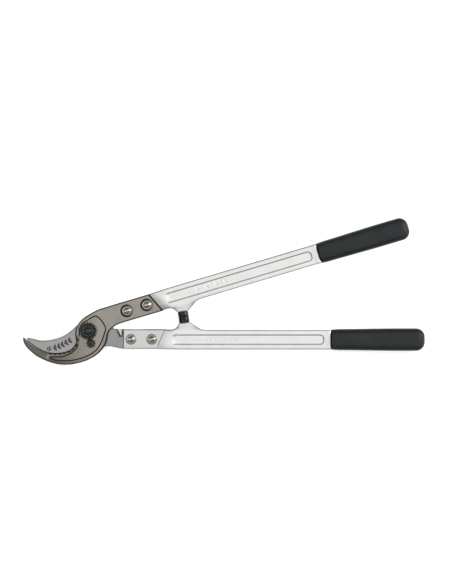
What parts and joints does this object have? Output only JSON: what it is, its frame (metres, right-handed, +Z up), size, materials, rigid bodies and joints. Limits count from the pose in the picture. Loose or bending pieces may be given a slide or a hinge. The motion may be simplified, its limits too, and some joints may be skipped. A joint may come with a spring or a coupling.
{
  "type": "bypass loppers",
  "caption": "Two-handed bypass loppers: curved cutting blade passing a serrated hook, forged aluminium handles with rubber stops, sleeve grips and a toothed pivot nut.",
  "frame": {"origin": "on the pivot axis, in the plane that the tool lies on, at the underside of the pivot bolt's head", "axes": "+X along the centre line between the handles towards the grips, +Y towards the handle of the hook, +Z up along the pivot bolt to the adjusting nut"},
  "size_m": [0.6139, 0.2058, 0.0281],
  "materials": {
    "hook_steel": "forged steel, ground and lightly oiled",
    "blade_steel": "hardened steel, fine ground",
    "forged_aluminium": "forged, bead blasted, satin",
    "grip_vinyl": "satin soft vinyl sleeve",
    "bumper_rubber": "matt black rubber",
    "black_steel": "black oxide, semi-gloss",
    "bright_steel": "bright nickel plate"
  },
  "bodies": {
    "hook_lever": {"hook_blade": "hook_steel", "hook_handle": "forged_aluminium", "hook_grip": "grip_vinyl", "hook_bumper": "bumper_rubber", "hook_screw_front": "bright_steel", "hook_screw_rear": "bright_steel", "hook_nut_front": "bright_steel", "hook_nut_rear": "bright_steel", "pivot_bolt": "black_steel", "disc_spring": "bright_steel", "pivot_bush": "bright_steel", "nut_washer": "bright_steel", "pinion_screw": "black_steel"},
    "blade_lever": {"cutting_blade": "blade_steel", "blade_handle": "forged_aluminium", "blade_grip": "grip_vinyl", "blade_bumper": "bumper_rubber", "blade_screw_front": "bright_steel", "blade_screw_rear": "bright_steel", "blade_nut_front": "bright_steel", "blade_nut_rear": "bright_steel"},
    "nut": {"adjusting_nut": "black_steel"},
    "pinion": {"lock_pinion": "black_steel"}
  },
  "joints": [
    {"name": "lever_pivot", "type": "hinge", "parent": "hook_lever", "child": "blade_lever", "pos_m": [0, 0, 0.013], "axis": [0, 0, -1], "range_deg": [0, 65]},
    {"name": "nut_adjust", "type": "hinge", "parent": "hook_lever", "child": "nut", "pos_m": [0, 0, 0.024], "axis": [0, 0, 1], "range_deg": [-15, 180]},
    {"name": "pinion_turn", "type": "hinge", "parent": "hook_lever", "child": "pinion", "pos_m": [0.0015, -0.01944, 0.024], "axis": [0, 0, 1], "range_deg": [-360, 30]}
  ],
  "couplings": [
    {"joint": "pinion_turn", "follows": "nut_adjust", "ratio": -2}
  ]
}
